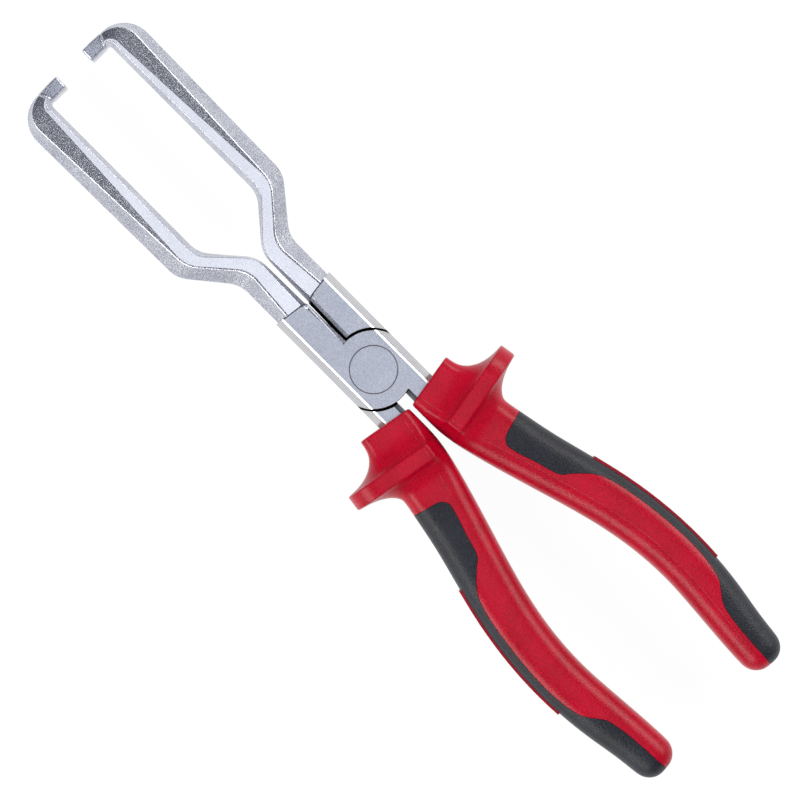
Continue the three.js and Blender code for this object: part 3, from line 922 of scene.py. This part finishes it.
def body_rows(inset, start):
    """Rings of the grip from a start to its rounded end, inset all round."""
    rounding = max(END_RADIUS - inset, LEAST_ROUND)
    last = handle_length - rounding - inset
    count = math.ceil((last - start) / GRIP_SPACING)
    stops = [(mixed(start, last, i / count), 0) for i in range(count + 1)]
    for i in range(1, END_STEPS + 1):
        angle = i / END_STEPS * math.pi / 2
        stops.append((last + rounding * math.sin(angle), rounding * (1 - math.cos(angle))))
    rows = []
    for along, less in stops:
        size = girth(along / handle_length)[0]
        half = size[0] - inset - less
        corner = max(size[2] - inset - less, LEAST_ROUND)
        point, out = handle_at(along)
        rows.append(ring(point, out, rounded_section(-half, half, size[1] - inset - less, corner, corner)))
    return rows


def guard_rows():
    """Rings of the front end and the guard: each flare is a quarter ellipse up to the guard.

    Each stop is how far it is behind the front face, how far it has risen to the guard, and its edge's inset.
    """
    lean = math.radians(FRONT_LEAN)
    out = Vector((math.sin(lean), -math.cos(lean)))
    stops = [(0, 0, FRONT_EDGE), (FRONT_EDGE * 0.3, 0, FRONT_EDGE * 0.3), (FRONT_EDGE, 0, 0)]
    for i in range(FLARE_STEPS):
        angle = i / FLARE_STEPS * math.pi / 2
        stops.append((GUARD_FRONT - FLARE_FRONT * (1 - math.sin(angle)), 1 - math.cos(angle), 0))
    stops += [
        (GUARD_FRONT, 1, GUARD_EDGE),
        (GUARD_FRONT + GUARD_EDGE * 0.6, 1, GUARD_EDGE * 0.15),
        (GUARD_FRONT + GUARD_ROUND, 1, 0),
        (guard_back - GUARD_ROUND, 1, 0),
        (guard_back - GUARD_EDGE * 0.6, 1, GUARD_EDGE * 0.15),
        (guard_back, 1, GUARD_EDGE),
    ]
    for i in range(FLARE_STEPS - 1, 0, -1):
        angle = i / FLARE_STEPS * math.pi / 2
        stops.append((guard_back + FLARE_BACK * (1 - math.sin(angle)), 1 - math.cos(angle), 0))
    rows = []
    for along, rise, edge in stops:
        size = girth(along / handle_length)[0]
        outer_half = rounded_section(
            -size[0],
            mixed(size[0], GUARD_OUT, rise) - edge,
            mixed(size[1], GUARD_HALF_HEIGHT, rise) - edge,
            size[2],
            mixed(size[2], GUARD_CORNER, rise),
        )
        inset = edge * (1 - rise)
        inner_half = rounded_section(-size[0] + inset, size[0], size[1] - inset, size[2], size[2])
        half = len(inner_half) // 2
        section = outer_half[:half] + inner_half[half:]
        for i, (aside, up) in enumerate(RIB_END):
            for corner, way in ((half + i, 1), (-1 - i, -1)):
                a, z = section[corner]
                section[corner] = (mixed(a, aside + edge, rise), mixed(z, way * (up - edge), rise))
        rows.append(ring(handle_at(along)[0], out, section))
    return rows


def smoothed(piece, levels):
    """Smooths a blank by so many rounds of subdivision."""
    take(piece)
    bpy.ops.object.modifier_add(type="SUBSURF")
    modifier = piece.modifiers[-1]
    modifier.levels = modifier.render_levels = levels
    bpy.ops.object.modifier_apply(modifier=modifier.name)
    return piece


# Where the soft inlay lies, seen from above: the edge it shares with the shell, as millimetres behind the
# front face and out from the centre line.
INLAY_FRONT = 22.8
INLAY_THICKNESS = 2.2
SEAM = 0.1  # between the inlay and the shell
INLAY_EDGE = [
    (23.1, 1.6),
    (23.4, 0.25),
    (24.6, -1.25),
    (26.4, -1.6),
    (33, -1.2),
    (39.4, -0.9),
    (41.4, 0.5),
    (46.2, 3.3),
    (49.4, 4.1),
    (64, 4.15),
    (78.3, 4),
    (83.2, 3.5),
    (85.6, 2.95),
    (90.3, 0.25),
    (92.2, -0.3),
    (handle_length + PAST, -0.3),
]


def inlay_region(name, clearance):
    """The inlay's outline through the whole height, its shared edge moved out by a clearance."""
    edge = smooth_line(INLAY_EDGE)
    steps = 5 * (len(INLAY_EDGE) - 1)
    outline = []
    for i in range(steps + 1):
        point, ahead = edge(i / steps)
        ahead = ahead.normalized()
        outline.append((point.x - ahead.y * clearance, point.y + ahead.x * clearance))
    outline += [(handle_length + PAST, GUARD_OUT + PAST), (INLAY_FRONT + clearance, GUARD_OUT + PAST)]
    rows = []
    for z in (-GUARD_HALF_HEIGHT, GUARD_HALF_HEIGHT):
        row = []
        for along, aside in outline:
            point, out = handle_at(along)
            row.append((point.x + out.x * aside, point.y + out.y * aside, z))
        rows.append(row)
    return sweep(name, rows)


STRIP_START = 44.4
STRIP_END = 81.4
STRIP_HALF_HEIGHT = 3.2
STRIP_PROUD = 0.35
STRIP_STEPS = 12


def strip_block(name, grow):
    """The plain raised strip along the shell's spine, which stands through the inlay."""
    rows = []
    for i in range(STRIP_STEPS + 1):
        along = mixed(STRIP_START - grow, STRIP_END + grow, i / STRIP_STEPS)
        point, out = handle_at(along)
        size = girth(along / handle_length)[0]
        outer = size[0] + STRIP_PROUD + grow
        up = STRIP_HALF_HEIGHT + grow
        rows.append(ring(point, out, [(0, -up), (outer, -up), (outer, up), (0, up)]))
    return sweep(name, rows)


BLANK_START = waist - 4.0  # the blanks for the inlay start inside the guard's back flare
shell = smoothed(sweep("handle_shell_upper_moulding", guard_rows() + body_rows(0, waist)), levels=2)
grip_blank = smoothed(sweep("grip_blank", body_rows(0, BLANK_START)), levels=2)
core = smoothed(sweep("core", body_rows(INLAY_THICKNESS, BLANK_START)), levels=2)

recess = inlay_region("recess", 0)
combine(recess, copy_of(core, "core_in_recess"), "DIFFERENCE")
combine(shell, recess, "DIFFERENCE")
combine(shell, strip_block("strip", 0), "UNION")
combine(shell, tang_block("tang_pocket", TANG_FIT), "DIFFERENCE")


# Glass-filled nylon from a spark-eroded mould: a deep red with a fine satin grain that spreads the highlights.
# The mould's grain is near 0.1 mm, and is drawn at 0.3 mm so that it shows.
def moulded_plastic(name, tone, dark_tone, roughness, grain, grain_depth, ior, sheen):
    """Plastic with the mould's grain, from its light and dark grains, gloss, grain's width and depth, and sheen."""
    material = bpy.data.materials.new(name)
    material.use_nodes = True
    tree = material.node_tree
    tree.nodes.clear()
    where = add_node(tree, "ShaderNodeTexCoord")
    grains = add_node(
        tree,
        "ShaderNodeTexNoise",
        {"Scale": 1 / (grain * MM), "Detail": 1.5, "Roughness": 0.6},
        {0: where.outputs["Object"]},
    )
    flow = add_node(tree, "ShaderNodeTexNoise", {"Scale": 1 / (9 * MM), "Detail": 3.0}, {0: where.outputs["Object"]})
    both = add_node(
        tree, "ShaderNodeMath", {"operation": "MULTIPLY_ADD", 1: 2.0}, {0: grains.outputs[0], 2: flow.outputs[0]}
    )
    share = add_node(
        tree, "ShaderNodeMapRange", {"From Min": 1.15, "From Max": 1.85}, {"Value": both.outputs[0]}
    )
    tint = add_node(
        tree,
        "ShaderNodeMix",
        {"data_type": "RGBA", 6: linear(dark_tone), 7: linear(tone)},
        {0: share.outputs[0]},
    )
    dull = add_node(
        tree,
        "ShaderNodeMapRange",
        {"From Min": 0.3, "From Max": 0.7, "To Min": roughness - 0.06, "To Max": roughness + 0.06},
        {"Value": grains.outputs[0]},
    )
    relief = add_node(
        tree, "ShaderNodeBump", {"Strength": 1.0, "Distance": grain_depth * MM}, {"Height": grains.outputs[0]}
    )
    skin = add_node(
        tree,
        "ShaderNodeBsdfPrincipled",
        {"Metallic": 0.0, "IOR": ior, "Specular IOR Level": sheen},
        {"Base Color": tint.outputs[2], "Roughness": dull.outputs[0], "Normal": relief.outputs[0]},
    )
    add_node(tree, "ShaderNodeOutputMaterial", {}, {"Surface": skin.outputs[0]})
    return material


shell.data.materials.append(
    moulded_plastic(
        "red_glass_filled_nylon", "#C6002D", "#A2001D",
        roughness=0.31, grain=0.3, grain_depth=0.06, ior=1.53, sheen=0.25,
    )
)
# A pale pink red: painted highlight on the witness ridges.
painted_highlight_red = moulded_plastic(
    "red_nylon_with_painted_highlight", "#D9606C", "#C43A4A", roughness=0.45, grain=0.36, grain_depth=0.02, ior=1.53, sheen=0.3
)

# The mould's inserts leave a fine witness line along each face of the handle: a ridge coloured pale pink along its
# length, a painted highlight.
# Each is given as its face (1 is the top, -1 the underside) and its line in plan, from the pivot.
WITNESS_HALF = 0.13
WITNESS_HEIGHT = 0.09
WITNESS_ROOT = 0.2
RAY_HEIGHT = 20.0  # clear of the shell, from where each ridge is dropped onto it
WITNESS_LINES = [
    (1, [(-14.0, -3.5), (-17.0, -4.1), (-20.0, -4.7)]),
    (1, [(-22.6, -4.9), (-24.0, -5.1), (-25.4, -5.4)]),
    (
        1,
        [
            (-31, -6.9),
            (-40, -9.8),
            (-50, -12.7),
            (-60, -15.6),
            (-70, -18),
            (-80, -19.4),
            (-90, -19.7),
            (-100, -19.1),
            (-110, -17.9),
            (-115, -17.4),
        ],
    ),
    (-1, [(-14.7, -3.6), (-18.6, -4.3), (-20.0, -4.7)]),
    (-1, [(-22.6, -4.9), (-24.0, -5.2), (-25.4, -5.5)]),
    (-1, [(-29.6, -6.7), (-32.5, -7.5), (-35.8, -8.3)]),
]
for up, line in WITNESS_LINES:
    path = smooth_line(line)
    steps = 4 * (len(line) - 1)
    rows = []
    for i in range(steps + 1):
        point, ahead = path(i / steps)
        aside = Vector((-ahead.y, ahead.x)).normalized()
        hit = shell.ray_cast(place(point.x, point.y, up * RAY_HEIGHT), (0, 0, -up))[1]
        level = (hit.z - middle) / MM
        corners = [(-WITNESS_HALF, -WITNESS_ROOT), (0, WITNESS_HEIGHT), (WITNESS_HALF, -WITNESS_ROOT)]
        rows.append([(point.x + aside.x * a, point.y + aside.y * a, level + up * b) for a, b in corners])
    ridge = sweep("witness_ridge", rows)
    # The ridge's pale pink is painted highlight.
    ridge.data.materials.append(painted_highlight_red)
    combine(shell, ridge, "UNION")
shade(shell, angle=30)
shell_lower = turned_over(shell, "handle_shell_lower_moulding")
for piece, body, node in (
    (shell, "upper_half", "handle_shell_upper"),
    (shell_lower, "lower_half", "handle_shell_lower"),
):
    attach(piece, body)
    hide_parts(node)

# --- Grip inlays ---
# Soft black rubbery plastic moulded into the shell's recess in a second shot, flush with the shell. The shell's
# raised strip stands through a slot in it.
inlay = grip_blank
inlay.name = "grip_inlay_upper_moulding"
combine(inlay, inlay_region("inlay_outline", SEAM), "INTERSECT")
combine(inlay, core, "DIFFERENCE")
combine(inlay, strip_block("strip_slot", SEAM), "DIFFERENCE")
# Thermoplastic elastomer: a matt near-black with a faint bloom. Its mould grain is near 0.1 mm too, and is drawn
# at 0.42 mm.
inlay.data.materials.append(
    moulded_plastic(
        "black_soft_elastomer", "#252A35", "#15171D",
        roughness=0.45, grain=0.42, grain_depth=0.14, ior=1.5, sheen=0.4,
    )
)
shade(inlay, angle=30)
inlay_lower = turned_over(inlay, "grip_inlay_lower_moulding")
for piece, body, node in (
    (inlay, "upper_half", "grip_inlay_upper"),
    (inlay_lower, "lower_half", "grip_inlay_lower"),
):
    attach(piece, body)
    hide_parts(node)

clear_selection()
